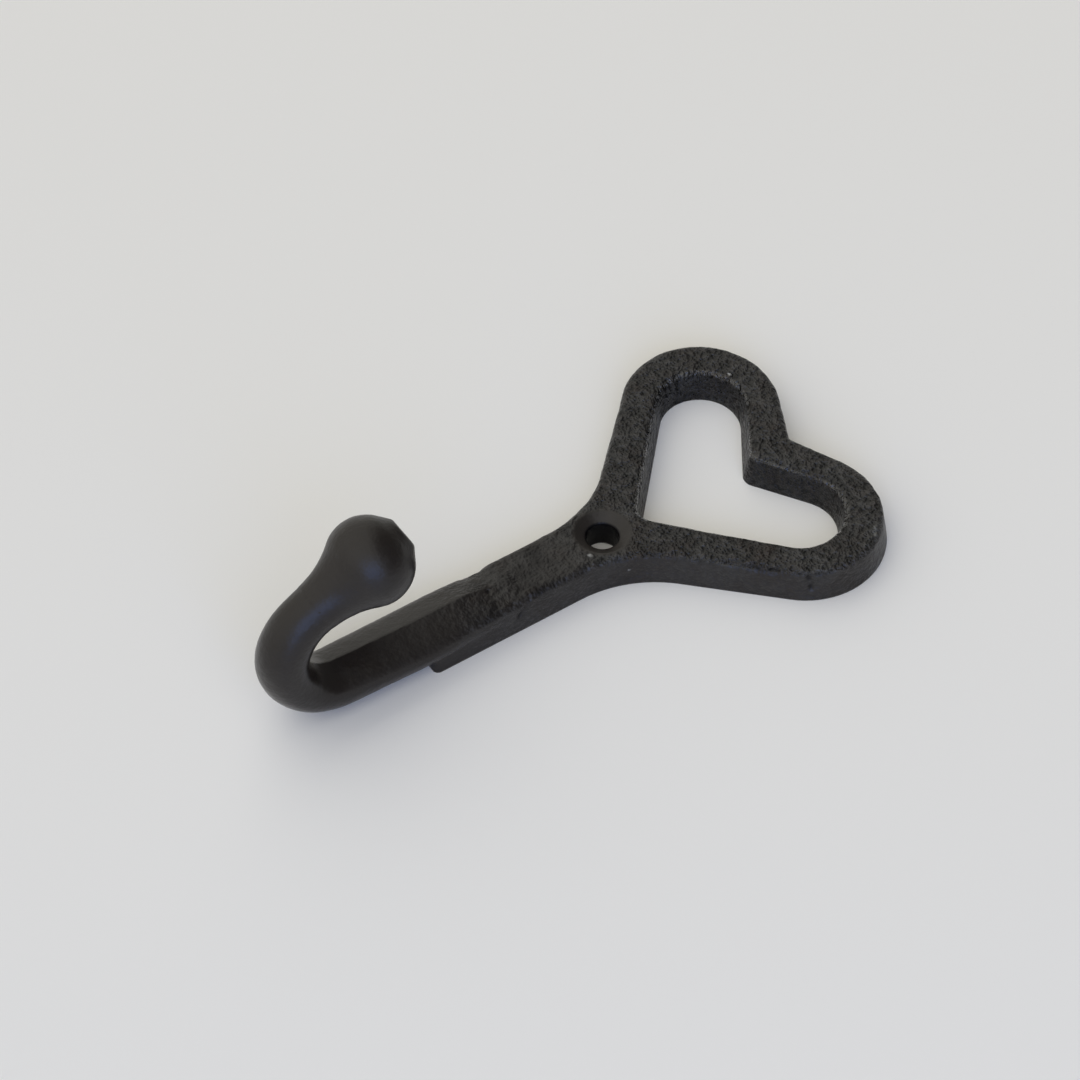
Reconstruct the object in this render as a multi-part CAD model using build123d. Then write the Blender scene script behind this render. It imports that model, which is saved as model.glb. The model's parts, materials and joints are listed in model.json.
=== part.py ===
from build123d import *

import os
from math import cos, pi, radians, sin, tan

# A wall hook cast in one piece: an open heart is its back plate, a stem below the heart holds the screw hole,
# and a bar runs on from the stem, bends out from the wall and ends in a pear-shaped knob.
# Millimetres. +Z points up the wall, -Y points into the room and the wall is the plane Y = 0. The origin is
# on the axis of the screw hole. The plate's widths are those at the wall; draft narrows them into the room.

# Back plate
plate_thickness = 5.5
draft_angle = 9.0
outer_edge_radius = 1.2
inner_edge_radius = 1.2

# Heart: two round lobes, straight flanks down to the stem and a cleft between the lobes
lobe_radius = 12.9
lobe_spacing = 26.8
lobe_height = 27.6
flank_angle = 44.0
cleft_angle = 25.0
cleft_radius = 0.8

# Heart opening: its lobes lie inside the outer ones, a little lower and nearer the middle
rim_width = 6.6
opening_inset = 0.8
opening_drop = 0.45
opening_flank_angle = 47.4
opening_cleft_angle = 34.0
opening_cleft_radius = 2.0
opening_point_radius = 1.6

# Stem, with a back pad that runs on behind the bar
stem_width = 10.8
stem_fillet_radius = 20.0
stem_front_length = 21.5
pad_length = 33.2
pad_end_height = 3.2
pad_corner_radius = 1.0

# Screw hole
hole_diameter = 5.0
countersink_diameter = 8.4
countersink_angle = 118.0

# Bar, bend and arm. The bar's walls are widest at its middle height, its back is oval and its front is boxy,
# with a ridge along it like a low roof. A corner ratio of 1 is oval, and more is boxier.
bar_overlap = 6.0
bar_cover = 0.1
bar_side_cover = 0.2
bar_wall_gap = 0.2
bar_top_middle = 3.0
bar_top_corner_ratio = 3.0
bar_middle = 3.6
bar_width = 10.5
bar_front = 1.9
bar_ridge = 1.8
bar_ridge_rise_length = 10.0
bar_corner_ratio = 2.0
bend_start_length = 47.0
bend_radius = 8.9
bend_turn = 139.5
bend_width = 9.8
bend_front = 2.3
arm_diameter = 7.6
arm_radius = 13.8
arm_turn = 14.9
oval_corner_ratio = 1.0

# Knob, along the arm's last direction: a flare, a round belly and a blunt cone
knob_diameter = 13.6
knob_neck_step = 0.05
knob_widest_length = 10.05
knob_belly_radius = 6.0
knob_flare_angle = 31.0
knob_cone_angle = 54.0
knob_flat_diameter = 4.8
knob_flat_edge_radius = 1.0

# How finely the bar's surface is divided, and what counts as on the middle line
hook_stations = 18
half_section_steps = 8
oval_power = 2.0
middle_tolerance = 0.01
quarter_turn = 90.0

# The bar's top end lies inside the stem, just under its front face and side walls
bar_top_length = stem_front_length - bar_overlap
bar_top_width = stem_width - 2 * bar_top_middle * tan(radians(draft_angle)) - 2 * bar_side_cover
bar_top_front = plate_thickness - bar_cover - bar_top_middle
bar_top_back = bar_top_middle - bar_wall_gap
bar_back = bar_middle - bar_wall_gap
countersink_depth = (countersink_diameter - hole_diameter) / 2 / tan(radians(countersink_angle / 2))


def heart_outline(lobe_x, lobe_z, radius, flank, cleft):
    """Two lobes with the straight-sided body that their tangents enclose."""
    flank_touch = (lobe_x + radius * cos(radians(flank)), lobe_z - radius * sin(radians(flank)))
    cleft_touch = (lobe_x - radius * sin(radians(cleft)), lobe_z + radius * cos(radians(cleft)))
    point = (0, flank_touch[1] - flank_touch[0] / tan(radians(flank)))
    notch = (0, cleft_touch[1] - cleft_touch[0] * tan(radians(cleft)))
    right = Polyline(point, flank_touch, (lobe_x, lobe_z), cleft_touch, notch, close=True)
    half = make_face(right) + Pos(lobe_x, lobe_z) * Circle(radius)
    return half + mirror(half, Plane.YZ)


def middle_corners(outline):
    """The corners of an outline on its middle line, lowest first."""
    return outline.vertices().filter_by_position(Axis.X, -middle_tolerance, middle_tolerance).sort_by(Axis.Y)


def front_face(solid):
    """The flat face of a plate that looks into the room."""
    return solid.faces().sort_by(Axis.Y)[0]


def make_plate():
    """Heart and stem with drafted walls, rounded front edges, the opening and the stem's run-out."""
    heart = heart_outline(lobe_spacing / 2, lobe_height, lobe_radius, flank_angle, cleft_angle)
    stem_length = pad_length + lobe_height / 2
    stem = Pos(0, -pad_length) * Rectangle(stem_width, stem_length, align=(Align.CENTER, Align.MIN))
    outline = heart + stem
    stem_corners = outline.vertices().filter_by_position(Axis.X, -stem_width, stem_width).sort_by(Axis.Y)[2:4]
    outline = fillet(stem_corners, stem_fillet_radius)
    outline = fillet(outline.vertices().sort_by(Axis.Y)[:2], pad_corner_radius)
    outline = fillet(middle_corners(outline)[-1], cleft_radius)
    plate = extrude(Plane.XZ * outline, amount=plate_thickness, taper=draft_angle)
    plate = fillet(front_face(plate).edges(), outer_edge_radius)

    opening = heart_outline(
        lobe_spacing / 2 - opening_inset,
        lobe_height - opening_drop,
        lobe_radius - rim_width,
        opening_flank_angle,
        opening_cleft_angle,
    )
    opening = fillet(middle_corners(opening)[0], opening_point_radius)
    opening = fillet(middle_corners(opening)[-1], opening_cleft_radius)
    plate -= extrude(Plane.XZ * opening, amount=plate_thickness, taper=-draft_angle)
    plate = fillet(front_face(plate).inner_wires()[0].edges(), inner_edge_radius)

    # The front face stops short of the pad: a slope runs down from it to the pad's low end
    slope = Polyline(
        (-plate_thickness, -stem_front_length),
        (-pad_end_height, -pad_length),
        (-plate_thickness, -pad_length),
        close=True,
    )
    return plate - extrude(Plane.YZ * make_face(slope), amount=stem_width, both=True)


def hook_path():
    """Centre line of the bar, bend and arm, and the lengths along it where the bar and the bend end."""
    bar = Line((-bar_top_middle, -bar_top_length), (-bar_middle, -bend_start_length))
    bend = JernArc(bar @ 1, bar % 1, bend_radius, -bend_turn)
    arm = JernArc(bend @ 1, bend % 1, arm_radius, -arm_turn)
    path = Plane.YZ * Wire([bar, bend, arm])
    return path, bar.length, bar.length + bend.length


def share(length, start, end):
    """How much of the stretch from start to end is passed, from 0 to 1."""
    return min(max((length - start) / (end - start), 0), 1)


def blend(start, end, along):
    """A value between two sizes."""
    return start + (end - start) * along


def hook_section(plane, width, front, back, ridge, corner_ratio):
    """Closed outline with an oval back and a boxy front, which rises to a ridge along its middle."""
    shares = [step / half_section_steps for step in range(half_section_steps + 1)]
    sides = []
    for half_width in (width / 2, -width / 2):
        points = []
        for turned in shares:
            across = sin(pi * turned)
            out = cos(pi * turned)
            power = oval_power * corner_ratio if out > 0 else oval_power
            reach = (across**power + abs(out) ** power) ** (-1 / power)
            across *= reach
            out *= reach
            height = out * front + (1 - across) * ridge if out > 0 else out * back
            points.append(Vector(across * half_width, height))
        sides.append(Edge.make_spline(points, parameters=shares))
    return plane * make_face(sides)


def make_hook():
    """Bar, bend and arm as one loft, from the stem to the knob's neck."""
    path, bar_end, bend_end = hook_path()
    pad_end = bar_end * (pad_length - bar_top_length) / (bend_start_length - bar_top_length)
    arm_half = arm_diameter / 2
    sections = []
    for station in range(hook_stations + 1):
        length = path.length * station / hook_stations
        on_pad = share(length, 0, pad_end)
        past_pad = share(length, pad_end, bar_end)
        in_bar = share(length, 0, bar_end)
        in_bend = share(length, bar_end, bend_end)
        width = blend(blend(bar_top_width, bar_width, on_pad), bend_width, past_pad)
        front = blend(blend(bar_top_front, bar_front, on_pad), bend_front, past_pad)
        back = blend(bar_top_back, bar_back, in_bar)
        corner_ratio = blend(bar_top_corner_ratio, bar_corner_ratio, on_pad)
        ridge_share = share(length, 0, bar_ridge_rise_length) * (1 - in_bend)
        here = path.position_at(length, position_mode=PositionMode.LENGTH)
        ahead = path.tangent_at(length, position_mode=PositionMode.LENGTH)
        section = hook_section(
            Plane(here, x_dir=(1, 0, 0), z_dir=ahead),
            blend(width, arm_diameter, in_bend),
            blend(front, arm_half, in_bend),
            blend(back, arm_half, in_bend),
            bar_ridge * ridge_share,
            blend(corner_ratio, oval_corner_ratio, in_bend),
        )
        sections.append(section)
    return loft(sections)


def make_knob():
    """Pear-shaped knob turned about the arm's last direction."""
    path = hook_path()[0]
    neck = arm_diameter / 2 + knob_neck_step
    flat = knob_flat_diameter / 2
    belly_middle = (knob_widest_length, knob_diameter / 2 - knob_belly_radius)
    belly_turn = knob_flare_angle + knob_cone_angle
    belly = CenterArc(belly_middle, knob_belly_radius, quarter_turn + knob_flare_angle, -belly_turn)
    flare = TangentArc(belly @ 0, (0, neck), tangent=-(belly % 0))
    cone_start = belly @ 1
    knob_length = cone_start.X + (cone_start.Y - flat) / tan(radians(knob_cone_angle))
    rest = Polyline(cone_start, (knob_length, flat), (knob_length, 0), (0, 0), (0, neck))
    turned = revolve(make_face([flare, belly, rest]), Axis.X)
    turned = fillet(turned.faces().sort_by(Axis.X)[-1].edges(), knob_flat_edge_radius)
    return Plane(path @ 1, x_dir=path % 1, z_dir=(1, 0, 0)) * turned


def make_hole():
    """Screw hole with its countersink."""
    front = Plane.XZ.offset(plate_thickness)
    sink_end = front.offset(-countersink_depth)
    drill = extrude(Plane.XZ * Circle(hole_diameter / 2), amount=plate_thickness)
    sink = loft([front * Circle(countersink_diameter / 2), sink_end * Circle(hole_diameter / 2)])
    return drill + sink


casting = make_plate() + make_hook() + make_knob() - make_hole()

os.makedirs("parts", exist_ok=True)
export_step(casting, "parts/heart_hook.step")
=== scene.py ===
"""Looks of a cast-iron wall hook with an open heart as its back plate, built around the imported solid.

The hook lies on its back on a pale board, which stands for the wall: it is just behind the plane Y = 0, and
-Y points out of it. The casting's near side is +X and its far side is -X.
"""

import json
from math import cos, radians, sin
from types import SimpleNamespace

import bpy
import numpy as np
from bpy.props import FloatProperty, FloatVectorProperty, PointerProperty
from mathutils import Matrix, Vector, noise


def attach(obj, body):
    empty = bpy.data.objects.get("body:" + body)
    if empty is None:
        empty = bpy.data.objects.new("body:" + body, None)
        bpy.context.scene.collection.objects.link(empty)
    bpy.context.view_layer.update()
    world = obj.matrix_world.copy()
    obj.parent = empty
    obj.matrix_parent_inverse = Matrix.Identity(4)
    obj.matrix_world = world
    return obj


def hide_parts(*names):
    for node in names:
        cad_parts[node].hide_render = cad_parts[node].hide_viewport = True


bl_info = {
    "name": "Cast Heart Wall Hook",
    "version": (1, 0, 0),
    "blender": (4, 5, 0),
    "location": "View3D > Sidebar > Wall Hook",
    "description": "Dresses the solid of a cast-iron wall hook and lays it on a pale board",
    "category": "Object",
}

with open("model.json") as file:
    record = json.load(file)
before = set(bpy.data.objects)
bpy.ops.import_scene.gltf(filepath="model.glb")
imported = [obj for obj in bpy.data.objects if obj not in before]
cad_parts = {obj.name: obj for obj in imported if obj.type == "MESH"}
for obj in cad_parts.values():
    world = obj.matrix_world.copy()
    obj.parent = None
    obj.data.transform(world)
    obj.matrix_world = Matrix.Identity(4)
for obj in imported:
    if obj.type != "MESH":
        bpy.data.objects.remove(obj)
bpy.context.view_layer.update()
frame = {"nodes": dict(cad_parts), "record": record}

MM = 0.001
NODE = "heart_hook"
OUT = Vector((0, -1, 0))
# Picks what lies in the wall plane of a row of coordinates
IN_WALL = np.array((1, 0, 1))
# Keeps divisors above zero
TINY = 1e-9

# The camera's sensor, and the nearest thing that it shows
SENSOR_MM = 36
NEAREST_MM = 10

# The cells' grid has two to this power on a side
GRID_DEPTH = 9

# The screw hole is drilled after casting, so the sand's marks stop short of it. Each fade goes from nothing
# to complete between two distances from the hole's axis
HOLE = next(mount for mount in frame["record"]["mounts"] if mount["name"] == "screw_hole")
BORE_RADIUS_MM = HOLE["dims"]["r_mm"]
COUNTERSINK_RADIUS_MM = 4.2
CAST_FADE_MM = (COUNTERSINK_RADIUS_MM, COUNTERSINK_RADIUS_MM + 0.8)
BORE_FADE_MM = (BORE_RADIUS_MM + 0.3, BORE_RADIUS_MM + 0.1)

# Where the casting's regions lie: each goes from nothing to complete between two depths, heights or places
# across the wall
OFF_WALL_MM = (0.05, 0.8)
PLATE_FOOT_MM = (-32, -20)
HEART_FOOT_MM = (-10, 6)
WAVES_FOOT_MM = (-45, -25)
FAR_SIDE_MM = (15, -15)
KNOB_START_MM = (-23, -17)
# The walls of the heart's opening face its middle
OPENING_MIDDLE_MM = np.array((0, 0, 17))
# How squarely a surface faces the room to be front or rim, or the opening's middle to be its wall
FRONT_FACING = (0.3, 0.6)
RIM_FACING = (0.25, 0.5)
OPENING_FACING = (0.2, 0.5)

# How grainy the skin is: everywhere, more on the plate, on its front, more on the far side and on the walls
# of the opening. The stem keeps a part of the front's grain, and the hook below the plate a part of the lumps
BASE_GRAIN = 0.12
PLATE_GRAIN = 0.15
FRONT_GRAIN = 0.45
FAR_SIDE_GRAIN = 0.18
OPENING_GRAIN = 0.4
STEM_PART = 0.1
HOOK_PART = 0.35

# Noise: how fast its octaves fade and narrow, how far one seed shifts it, and each use's seed
OCTAVE_FADE = 0.9
OCTAVE_STEP = 2.0
SEED_SHIFT = Vector((17.3, 5.1, 9.7))
WAVE_SEED, LUMP_SEED, SAND_SEED, STREAK_SEED, SMUDGE_SEED = 1, 2, 3, 4, 5
LUMP_OCTAVES = 2

# What noise varies for a dent's depth, its painted shade and the drill's streaks: the middle, the swing about
# it, and the least and the most
DENT_DEPTH = (0.85, 0.4, 0.5, 1.2)
DENT_SHADE = (0.75, 0.9, 0.2, 1.2)
DRILL_STREAKS = (0.55, 0.6, 0, 1)
DRILL_STREAK_MM = 1.6

# Painted shade and smudges: the depths between which a dent darkens with painted shade, the distance between
# smudges and the noise's levels between which they come, and how black each place gets. The dents, the bore
# and the opening's walls get painted shade, the stem's front smudges
DENT_SHADE_MM = (0.03, 0.4)
SMUDGE_MM = 2.8
SMUDGE_EDGE = (-0.1, 0.5)
DENT_SHADE_BLACK = 0.7
BORE_SHADE = 0.9
STEM_BLACK = 0.5
OPENING_SHADE = 0.35

# How fast a mark falls off away from its line, where a chip's edge lies on that slope, and the gloss of the
# bend and the arm, where the opening's rim has 1
MARK_FALL = 2
CHIP_EDGE = (0.3, 0.6)
ARM_GLOSS = 0.4

# Dents of this one casting: both ends, radius and depth in millimetres
DENTS_MM = {
    "hollow in the stem's far edge": ((-4.8, -4.9, -19.6), (-4.6, -4.9, -21.6), 1.8, 0.45),
    "worn edge of the stem": ((4.6, -5.2, -5.5), (4.4, -5.3, -19.0), 0.7, 0.12),
    "pit in the stem's front": ((0.6, -6.1, -20.9), (0.6, -6.1, -20.9), 0.6, 0.35),
    "crease in the stem's near wall": ((4.4, -5.1, -16.1), (5.0, -2.7, -18.4), 0.6, 0.3),
    "dents in the near flank's edge": ((14.5, -5.2, 11.7), (17.5, -5.1, 14.7), 0.6, 0.2),
    "deeper dents in that edge": ((17.9, -5.0, 15.1), (20.4, -5.0, 17.7), 0.8, 0.35),
    "nick in the near lobe's wall": ((23.6, -4.6, 21.0), (24.2, -2.5, 21.3), 0.7, 0.45),
}
# Places where the paint is chipped down to metal: both ends and radius in millimetres, and how bare it is
CHIPS_MM = {
    "speck beside the countersink": ((2.7, -5.5, -4.1), (2.7, -5.5, -4.1), 0.45, 0.6),
    "speck on the stem's near wall": ((6.5, -2.8, 0.4), (6.5, -2.8, 0.4), 0.32, 0.3),
    "scratch on the near lobe": ((21.8, -5.5, 34.7), (23.0, -5.4, 33.7), 0.4, 0.22),
    "speck on the far lobe": ((-15.7, -5.5, 34.6), (-15.7, -5.5, 34.6), 0.32, 0.9),
}

# Marks that the mesh carries and the paint reads. The black mark is painted shade in the dents, the bore and
# the opening's walls, and smudges on the stem
MARKS = ("grain", "gloss", "shade_and_smudge", "drilled", "chip")
# The paint's patterns, each with the distance between its features in millimetres and its detail: clouds of
# thin paint, mottles of a few grains, and single grains, which are coarser than the sand and as fine as shows
PATTERNS = {
    "clouds": (5, 3),
    "mottles": (0.85, 1.5),
    "grains": (0.55, 1),
}
PATTERN_ROUGHNESS = 0.6
# What the marks and the patterns drive: the source, its range, and the range that it is carried to
DRIVEN = {
    "thin paint": ("clouds", (0.42, 0.68), (0, 1)),
    "speckle": ("mottles", (0.32, 0.68), (0.1, 1.9)),
    "speckle share": ("grain", (0.1, 0.6), (0.15, 1)),
    "brown share": ("grain", (0.45, 0.12), (0, 0.8)),
    "relief": ("grain", (0.1, 0.8), (0.03, 1)),
    "roughness": ("gloss", (0, 1), (0.36, 0.16)),
    # The painted shade and the smudges also dull the shine
    "specular level": ("shade_and_smudge", (0, 1), (0.36, 0.1)),
    "coat": ("gloss", (0.5, 1), (0, 0.8)),
}
# The bump: the single grains' part beside the mottles, and its height
GRAINS_PART = 0.45
RELIEF_MM = 1.1
COAT_ROUGHNESS = 0.12
# Sockets of a Mix node that is set to colours, which share their names with others
COLOUR_A, COLOUR_B, MIXED = 6, 7, 2

BOARD_ROUGHNESS = 0.6
# Within this many of its gaps from the hook's back, the board is clear
CLEAR_GAPS = 3

# The window's place from the camera's target in metres, and the room's bright and dark sides, each along the
# near side, the camera's right and the way out of the board
WINDOW_PLACE = (0.9, 0.12, 0.42)
BRIGHT_SIDE = (0.1, -0.2, 0.97)
DARK_SIDE = (-0.25, 0.85, 0.4)
# How squarely a direction faces each side while its light rises or fades
BRIGHT_RISE = (-0.3, 0.9)
DARK_RISE = (0.45, 0.8)


def linear(hex_colour):
    """Linear red, green and blue of an sRGB hex value, by the standard's curve."""
    values = [int(hex_colour[i:i + 2], 16) / 255 for i in (1, 3, 5)]
    return tuple(v / 12.92 if v <= 0.04045 else ((v + 0.055) / 1.055) ** 2.4 for v in values)


def length_property(name, description, default_mm):
    """A length that a user would change, given in millimetres."""
    return FloatProperty(
        name=name, description=description, default=default_mm * MM, unit="LENGTH", precision=6
    )


def angle_property(name, description, default_degrees):
    """An angle that a user would change, given in degrees."""
    return FloatProperty(
        name=name, description=description, default=radians(default_degrees), subtype="ANGLE"
    )


def colour_property(name, description, default_hex):
    """A colour that a user would change, given as an sRGB hex value."""
    return FloatVectorProperty(
        name=name, description=description, default=linear(default_hex), subtype="COLOR", min=0, max=1
    )


class CastingSettings(bpy.types.PropertyGroup):
    """How the sand mould shaped the casting's skin, and the paint on it."""

    cell: length_property("Cell", "Size of the mesh's cells", 0.28)
    wave_length: length_property("Wave length", "Distance between the mould's broad waves", 9)
    wave_height: length_property("Wave height", "How far the broad waves stand out", 0.12)
    lump_length: length_property("Lump length", "Distance between the lumps of the skin", 2.6)
    lump_height: length_property("Lump height", "How far the lumps stand out", 0.09)
    grain_length: length_property("Grain length", "Distance between the marks of the sand's grains", 0.8)
    grain_height: length_property("Grain height", "How far the grain marks stand out", 0.045)
    paint: colour_property("Paint", "Near-black paint", "#2b2a29")
    undertone: colour_property("Undertone", "Brown of the iron where the paint is thin", "#1f1a17")
    drilled: colour_property("Drilled", "Brown of the drilled cone under little paint", "#2a2623")
    # Near black that paints shade in the dents, the bore and the opening's walls, and makes the stem's
    # smudges
    shade_and_smudge: colour_property("Shade and smudge", "Black in the dents and the bore", "#0b0b0d")
    bare: colour_property("Bare metal", "Grey of a chip", "#b0b0ad")


class StageSettings(bpy.types.PropertyGroup):
    """The board, the light and the camera."""

    board: colour_property("Board", "Pale board that the hook lies on", "#f1f0ee")
    board_side: length_property("Board side", "Side of the square board", 4000)
    board_gap: length_property("Board gap", "Gap between the hook's back and the board", 0.05)
    turn: angle_property("Turn", "Camera's turn round the hook", 33.938)
    height: angle_property("Height", "Camera's height above the board", 49.838)
    roll: angle_property("Roll", "Camera's roll", 0.268)
    distance: length_property("Distance", "From the camera to its target", 555.29)
    lens: FloatProperty(name="Lens", description="Focal length", default=122.163, unit="CAMERA")
    target: FloatVectorProperty(
        name="Target",
        description="Point of the board in the middle of the picture",
        default=(-7.723 * MM, 0, -6.067 * MM),
        subtype="XYZ",
        unit="LENGTH",
    )
    room: colour_property("Room", "Colour of the room's light", "#fefcf4")
    bright_level: FloatProperty(name="Bright level", description="Light from the bright side", default=1.14)
    dim_level: FloatProperty(name="Dim level", description="Light from the side across", default=0.4)
    dark_level: FloatProperty(name="Dark level", description="Light from the dark place", default=0.12)
    window: colour_property("Window", "Colour of the window's light", "#80aaff")
    window_side: length_property("Window side", "Side of the square window", 700)
    window_power: FloatProperty(
        name="Window power", description="Power of the window", default=3, unit="POWER"
    )


def add_node(tree, kind, settings=None, inputs=None, links=None):
    """A node with its settings, the values of its sockets, and links from other nodes' sockets to its own."""
    node = tree.nodes.new(kind)
    for name, value in (settings or {}).items():
        setattr(node, name, value)
    for name, value in (inputs or {}).items():
        node.inputs[name].default_value = value
    for name, source in (links or {}).items():
        tree.links.new(source, node.inputs[name])
    return node


def new_material(name):
    """An empty material with nodes."""
    material = bpy.data.materials.new(name)
    material.use_nodes = True
    material.node_tree.nodes.clear()
    return material


def per_metre(length_mm):
    """Noise scale whose features are about this far apart."""
    return 1 / (length_mm * MM)


def opaque(colour):
    """A colour with alpha 1."""
    return (*colour, 1)


# Sand-cast iron under thin satin paint: near black, grainy where the sand met the front, browner where it is
# smooth, with glints on the grains' flanks and gloss on the opening's rim. Black paints shade in the dents,
# the bore and the opening's walls, and smudges on the stem
def painted_cast_iron(settings):
    """The casting's material, which reads the marks that its mesh carries."""
    material = new_material("painted_sand_cast_iron")
    tree = material.node_tree
    place = add_node(tree, "ShaderNodeTexCoord").outputs["Object"]
    sources = {
        name: add_node(tree, "ShaderNodeAttribute", {"attribute_name": name}).outputs["Fac"] for name in MARKS
    }
    for name, (length_mm, detail) in PATTERNS.items():
        pattern = add_node(
            tree,
            "ShaderNodeTexNoise",
            inputs={"Scale": per_metre(length_mm), "Detail": detail, "Roughness": PATTERN_ROUGHNESS},
            links={"Vector": place},
        )
        sources[name] = pattern.outputs["Fac"]
    driven = {}
    for name, (source, (low, high), (at_low, at_high)) in DRIVEN.items():
        carried = add_node(
            tree,
            "ShaderNodeMapRange",
            inputs={"From Min": low, "From Max": high, "To Min": at_low, "To Max": at_high},
            links={"Value": sources[source]},
        )
        driven[name] = carried.outputs["Result"]
    layer = {"data_type": "RGBA"}
    ends = {COLOUR_A: opaque(settings.paint), COLOUR_B: opaque(settings.undertone)}
    clouded = add_node(tree, "ShaderNodeMix", layer, ends, {"Factor": driven["thin paint"]})
    speckled = add_node(
        tree,
        "ShaderNodeMix",
        layer | {"blend_type": "MULTIPLY"},
        links={
            "Factor": driven["speckle share"],
            COLOUR_A: clouded.outputs[MIXED],
            COLOUR_B: driven["speckle"],
        },
    )
    colour = speckled.outputs[MIXED]
    # Laid over the speckled paint: brown, the drilled cone, painted shade with the stem's smudges, and chips
    for share, above in (
        (driven["brown share"], settings.undertone),
        (sources["drilled"], settings.drilled),
        (sources["shade_and_smudge"], settings.shade_and_smudge),
        (sources["chip"], settings.bare),
    ):
        over = add_node(
            tree, "ShaderNodeMix", layer, {COLOUR_B: opaque(above)}, {"Factor": share, COLOUR_A: colour}
        )
        colour = over.outputs[MIXED]
    heights = add_node(
        tree,
        "ShaderNodeMath",
        {"operation": "MULTIPLY_ADD"},
        {1: GRAINS_PART},
        {0: sources["grains"], 2: sources["mottles"]},
    )
    bump = add_node(
        tree,
        "ShaderNodeBump",
        inputs={"Distance": RELIEF_MM * MM},
        links={"Height": heights.outputs["Value"], "Strength": driven["relief"]},
    )
    shader = add_node(
        tree,
        "ShaderNodeBsdfPrincipled",
        inputs={"Coat Roughness": COAT_ROUGHNESS},
        links={
            "Base Color": colour,
            "Roughness": driven["roughness"],
            "Specular IOR Level": driven["specular level"],
            "Normal": bump.outputs["Normal"],
            "Coat Weight": driven["coat"],
            "Coat Normal": bump.outputs["Normal"],
        },
    )
    add_node(tree, "ShaderNodeOutputMaterial", links={"Surface": shader.outputs["BSDF"]})
    return material


# Matt white melamine: even and pale, with a faint sheen. It is clear from behind and close to the hook's
# back, so that views from behind show the back, with light on it
def matt_board(settings):
    """The board's material."""
    material = new_material("matt_white_melamine")
    tree = material.node_tree
    front = add_node(
        tree,
        "ShaderNodeBsdfPrincipled",
        inputs={"Base Color": opaque(settings.board), "Roughness": BOARD_ROUGHNESS},
    )
    clear = add_node(tree, "ShaderNodeBsdfTransparent")
    behind = add_node(tree, "ShaderNodeNewGeometry").outputs["Backfacing"]
    length = add_node(tree, "ShaderNodeLightPath").outputs["Ray Length"]
    at_back = add_node(
        tree, "ShaderNodeMath", {"operation": "LESS_THAN"}, {1: CLEAR_GAPS * settings.board_gap}, {0: length}
    )
    either = add_node(
        tree, "ShaderNodeMath", {"operation": "MAXIMUM"}, links={0: behind, 1: at_back.outputs["Value"]}
    )
    mixed = add_node(
        tree,
        "ShaderNodeMixShader",
        links={0: either.outputs["Value"], 1: front.outputs["BSDF"], 2: clear.outputs["BSDF"]},
    )
    add_node(tree, "ShaderNodeOutputMaterial", links={"Surface": mixed.outputs["Shader"]})
    return material


def link(obj):
    """Puts an object into the scene and returns it."""
    bpy.context.scene.collection.objects.link(obj)
    return obj


def even_mesh(source, cell_mm):
    """The solid's form as an even mesh of small cells with its sharp edges, in millimetres."""
    mesh = source.data.copy()
    mesh.transform(Matrix.Scale(1 / MM, 4))
    form = link(bpy.data.objects.new("casting_form", mesh))
    cells = form.modifiers.new("Cells", "REMESH")
    cells.mode = "SHARP"
    cells.octree_depth = GRID_DEPTH
    cells.scale = max(form.dimensions) / (cell_mm * 2**GRID_DEPTH)
    cells.use_remove_disconnected = False
    bpy.context.view_layer.update()
    result = bpy.data.meshes.new_from_object(form.evaluated_get(bpy.context.evaluated_depsgraph_get()))
    bpy.data.objects.remove(form)
    return result


def smooth_step(low, high, value):
    """0 at low, 1 at high and a smooth way between them."""
    share = np.clip((value - low) / (high - low), 0, 1)
    return share * share * (3 - 2 * share)


def noise_at(points, length, seed, octaves=1):
    """Smooth noise from about -1 to 1, with features about one length apart."""
    shift = SEED_SHIFT * seed
    return np.array(
        [noise.fractal(Vector(p) / length + shift, OCTAVE_FADE, OCTAVE_STEP, octaves) for p in points]
    )


def uneven(level, middle, swing, least, most):
    """A share that a noise's level varies about its middle."""
    return np.clip(middle + swing * level, least, most)


def near(points, start, end, radius):
    """1 on the line from start to end, falling to about a seventh one radius away and then to nothing."""
    start = np.array(start)
    along = np.array(end) - start
    share = np.clip((points - start) @ along / max(along @ along, TINY), 0, 1)
    distance = np.linalg.norm(points - start - share[:, None] * along, axis=1) / radius
    return np.exp(-MARK_FALL * distance**2)


def vectors(collection, name):
    """The vectors of a mesh's list as rows."""
    values = np.empty(len(collection) * 3, np.float32)
    collection.foreach_get(name, values)
    return values.reshape(-1, 3).astype(float)


def wall_direction(rows):
    """The direction of each row in the wall plane."""
    flat = rows * IN_WALL
    return flat / (np.linalg.norm(flat, axis=1)[:, None] + TINY)


def casting_regions(points, normals):
    """How much each point belongs to each region of the casting, from 0 to 1."""
    x, y, z = points.T
    facing_out = -normals[:, 1]
    from_hole = np.hypot(x, z)
    to_middle = wall_direction(OPENING_MIDDLE_MM - points)
    plate = smooth_step(*PLATE_FOOT_MM, z)
    opening = plate * smooth_step(*OPENING_FACING, (normals * to_middle).sum(axis=1))
    return SimpleNamespace(
        cast=smooth_step(*CAST_FADE_MM, from_hole),
        bore=smooth_step(*BORE_FADE_MM, from_hole),
        off_wall=smooth_step(*OFF_WALL_MM, -y),
        plate=plate,
        front=plate * smooth_step(*FRONT_FACING, facing_out),
        opening=opening,
        rim=opening * smooth_step(*RIM_FACING, facing_out),
        far_side=smooth_step(*FAR_SIDE_MM, x),
        heart=smooth_step(*HEART_FOOT_MM, z),
        wavy=smooth_step(*WAVES_FOOT_MM, z),
        arm=(1 - plate) * smooth_step(*KNOB_START_MM, y),
    )


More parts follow.
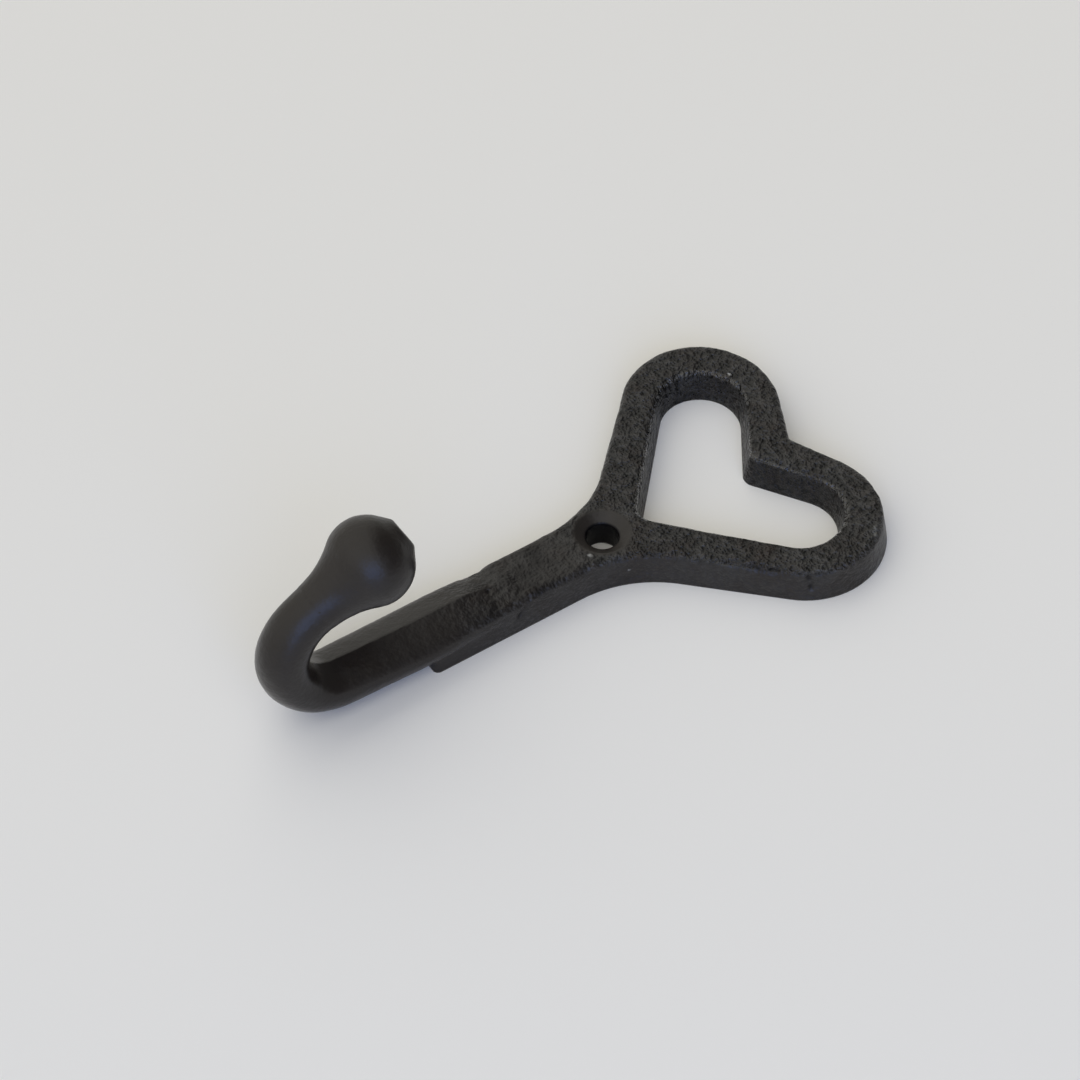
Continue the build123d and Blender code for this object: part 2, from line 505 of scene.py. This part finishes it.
def cast_skin(points, normals, settings):
    """How far the skin stands out at each point, in millimetres, and the marks that the material reads."""
    on = casting_regions(points, normals)
    front_grain = (FRONT_GRAIN + FAR_SIDE_GRAIN * on.far_side) * (STEM_PART + (1 - STEM_PART) * on.heart)
    sanded = np.maximum(front_grain * on.front, OPENING_GRAIN * on.opening)
    grain = BASE_GRAIN + on.cast * (PLATE_GRAIN * on.plate + sanded)

    wave = noise_at(points, settings.wave_length / MM, WAVE_SEED) * on.wavy
    lump = noise_at(points, settings.lump_length / MM, LUMP_SEED, LUMP_OCTAVES)
    lump *= HOOK_PART + (1 - HOOK_PART) * on.plate
    sand = noise_at(points, settings.grain_length / MM, SAND_SEED)
    push = wave * settings.wave_height + lump * settings.lump_height + grain * sand * settings.grain_height
    push /= MM
    # Each dent sinks in, and painted shade darkens it, more where it is deeper
    dent_shade = np.zeros(len(points))
    for start, end, radius, depth in DENTS_MM.values():
        dent = near(points, start, end, radius) * depth
        push -= dent * uneven(sand, *DENT_DEPTH)
        dent_shade = np.maximum(dent_shade, dent * uneven(sand, *DENT_SHADE))
    chip = np.zeros(len(points))
    for start, end, radius, bareness in CHIPS_MM.values():
        chip = np.maximum(chip, bareness * smooth_step(*CHIP_EDGE, near(points, start, end, radius)))

    # Soft smudges lie on the stem's front, and painted shade darkens the opening's walls
    smudge_and_shade = smooth_step(*SMUDGE_EDGE, noise_at(points, SMUDGE_MM, SMUDGE_SEED)) * on.front * (1 - on.heart)
    smudge_and_shade = np.maximum(STEM_BLACK * smudge_and_shade, OPENING_SHADE * on.opening * (1 - on.front))
    # Painted shade in the dents
    shaded_dents = DENT_SHADE_BLACK * smooth_step(*DENT_SHADE_MM, dent_shade)
    # The drill left streaks that run out from the hole's axis
    round_hole = wall_direction(points) * COUNTERSINK_RADIUS_MM
    streaks = uneven(noise_at(round_hole, DRILL_STREAK_MM, STREAK_SEED), *DRILL_STREAKS)
    marks = {
        "grain": grain,
        "gloss": np.maximum(on.cast * on.rim, ARM_GLOSS * on.arm),
        # Painted shade in the dents, the bore and the opening's walls, and the stem's smudges
        "shade_and_smudge": np.maximum.reduce((shaded_dents, BORE_SHADE * on.bore, on.cast * smudge_and_shade)),
        "drilled": (1 - on.cast) * (1 - on.bore) * streaks,
        "chip": chip,
    }
    return push * on.cast * on.off_wall, marks


class WALLHOOK_OT_casting(bpy.types.Operator):
    """Makes the casting with its sand-cast skin in place of the even solid"""

    bl_idname = "wallhook.casting"
    bl_label = "Casting"

    def execute(self, context):
        settings = context.scene.wallhook_casting
        mesh = even_mesh(frame["nodes"][NODE], settings.cell / MM)
        points = vectors(mesh.vertices, "co")
        normals = vectors(mesh.vertex_normals, "vector")
        push, marks = cast_skin(points, normals, settings)
        points += normals * push[:, None]
        points[:, 1] = np.minimum(points[:, 1], 0)
        mesh.vertices.foreach_set("co", (points * MM).astype(np.float32).ravel())
        for name, values in marks.items():
            mesh.attributes.new(name, "FLOAT", "POINT").data.foreach_set("value", values.astype(np.float32))
        mesh.polygons.foreach_set("use_smooth", np.ones(len(mesh.polygons), bool))
        mesh.materials.clear()
        mesh.materials.append(painted_cast_iron(settings))
        mesh.update()
        casting = link(bpy.data.objects.new("casting", mesh))
        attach(casting, "root")
        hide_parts(NODE)
        return {"FINISHED"}


def view_axes(turn, height):
    """Right, up and ahead of a camera that looks down on the board."""
    right = Vector((sin(turn), 0, cos(turn)))
    ahead = Vector((-cos(turn) * cos(height), sin(height), sin(turn) * cos(height)))
    return right, right.cross(ahead), ahead


def add_board(settings):
    """The board under the hook."""
    half = settings.board_side / 2
    gap = settings.board_gap
    mesh = bpy.data.meshes.new("board")
    corners = [(-half, gap, -half), (half, gap, -half), (half, gap, half), (-half, gap, half)]
    mesh.from_pydata(corners, [], [(0, 1, 2, 3)])
    mesh.materials.append(matt_board(settings))
    link(bpy.data.objects.new("board", mesh))


def add_camera(settings, right, up, ahead):
    """The camera, which looks at its target."""
    data = bpy.data.cameras.new("camera")
    data.sensor_width = SENSOR_MM
    data.lens = settings.lens
    data.clip_start = NEAREST_MM * MM
    camera = link(bpy.data.objects.new("camera", data))
    rolled_right = right * cos(settings.roll) + up * sin(settings.roll)
    rolled_up = up * cos(settings.roll) - right * sin(settings.roll)
    turned = Matrix((rolled_right, rolled_up, -ahead)).transposed().to_4x4()
    camera.matrix_world = Matrix.Translation(Vector(settings.target) - ahead * settings.distance) @ turned
    return camera


def add_window(settings, place):
    """A square window that shines at the camera's target from a place given from there."""
    data = bpy.data.lights.new("window", "AREA")
    data.shape = "SQUARE"
    data.size = settings.window_side
    data.energy = settings.window_power
    data.color = settings.window
    window = link(bpy.data.objects.new("window", data))
    window.location = Vector(settings.target) + place
    window.rotation_mode = "QUATERNION"
    window.rotation_quaternion = (-place).to_track_quat("-Z", "Y")


def room_light(settings, bright_side, dark_side):
    """A plain room's light: it rises towards the bright side and its opposite, and one place is dark."""
    world = bpy.data.worlds.new("room")
    world.use_nodes = True
    tree = world.node_tree
    tree.nodes.clear()
    ray = add_node(tree, "ShaderNodeTexCoord").outputs["Generated"]
    toward_bright, toward_dark = (
        add_node(
            tree, "ShaderNodeVectorMath", {"operation": "DOT_PRODUCT"}, {1: side.normalized()}, {0: ray}
        ).outputs["Value"]
        for side in (bright_side, dark_side)
    )
    either = add_node(tree, "ShaderNodeMath", {"operation": "ABSOLUTE"}, links={0: toward_bright})
    pale = add_node(
        tree,
        "ShaderNodeMapRange",
        inputs={
            "From Min": BRIGHT_RISE[0],
            "From Max": BRIGHT_RISE[1],
            "To Min": settings.dim_level,
            "To Max": settings.bright_level,
        },
        links={"Value": either.outputs["Value"]},
    )
    strength = add_node(
        tree,
        "ShaderNodeMapRange",
        {"interpolation_type": "SMOOTHSTEP"},
        {"From Min": DARK_RISE[0], "From Max": DARK_RISE[1], "To Max": settings.dark_level},
        {"Value": toward_dark, "To Min": pale.outputs["Result"]},
    )
    shade = add_node(
        tree,
        "ShaderNodeBackground",
        inputs={"Color": opaque(settings.room)},
        links={"Strength": strength.outputs["Result"]},
    )
    add_node(tree, "ShaderNodeOutputWorld", links={"Surface": shade.outputs["Background"]})
    return world


def from_axes(axes, lengths):
    """The vector with these lengths along these axes."""
    return sum((axis * length for axis, length in zip(axes, lengths)), Vector())


class WALLHOOK_OT_stage(bpy.types.Operator):
    """Lays a pale board under the hook and sets the light and the camera"""

    bl_idname = "wallhook.stage"
    bl_label = "Stage"

    def execute(self, context):
        scene = context.scene
        settings = scene.wallhook_stage
        add_board(settings)
        right, up, ahead = view_axes(settings.turn, settings.height)
        scene.camera = add_camera(settings, right, up, ahead)
        # The room is bright above and dark to the camera's right, and a window is low on the camera's side
        axes = (right.cross(OUT), right, OUT)
        add_window(settings, from_axes(axes, WINDOW_PLACE))
        scene.world = room_light(settings, from_axes(axes, BRIGHT_SIDE), from_axes(axes, DARK_SIDE))
        scene.view_settings.view_transform = "Standard"
        return {"FINISHED"}


class WALLHOOK_PT_panel(bpy.types.Panel):
    """Lists the steps that dress the hook"""

    bl_idname = "WALLHOOK_PT_panel"
    bl_label = "Wall Hook"
    bl_space_type = "VIEW_3D"
    bl_region_type = "UI"
    bl_category = "Wall Hook"

    def draw(self, context):
        for operator, settings in (
            (WALLHOOK_OT_casting, context.scene.wallhook_casting),
            (WALLHOOK_OT_stage, context.scene.wallhook_stage),
        ):
            box = self.layout.box()
            box.operator(operator.bl_idname)
            for name in settings.__annotations__:
                box.prop(settings, name)


classes = (CastingSettings, StageSettings, WALLHOOK_OT_casting, WALLHOOK_OT_stage, WALLHOOK_PT_panel)


def register():
    """Makes the settings, the operators and the panel known."""
    for cls in classes:
        bpy.utils.register_class(cls)
    bpy.types.Scene.wallhook_casting = PointerProperty(type=CastingSettings)
    bpy.types.Scene.wallhook_stage = PointerProperty(type=StageSettings)


def unregister():
    """Takes them away again."""
    del bpy.types.Scene.wallhook_stage
    del bpy.types.Scene.wallhook_casting
    for cls in reversed(classes):
        bpy.utils.unregister_class(cls)


def main():
    """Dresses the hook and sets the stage."""
    register()
    bpy.ops.wallhook.casting()
    bpy.ops.wallhook.stage()


if __name__ == "__main__":
    main()
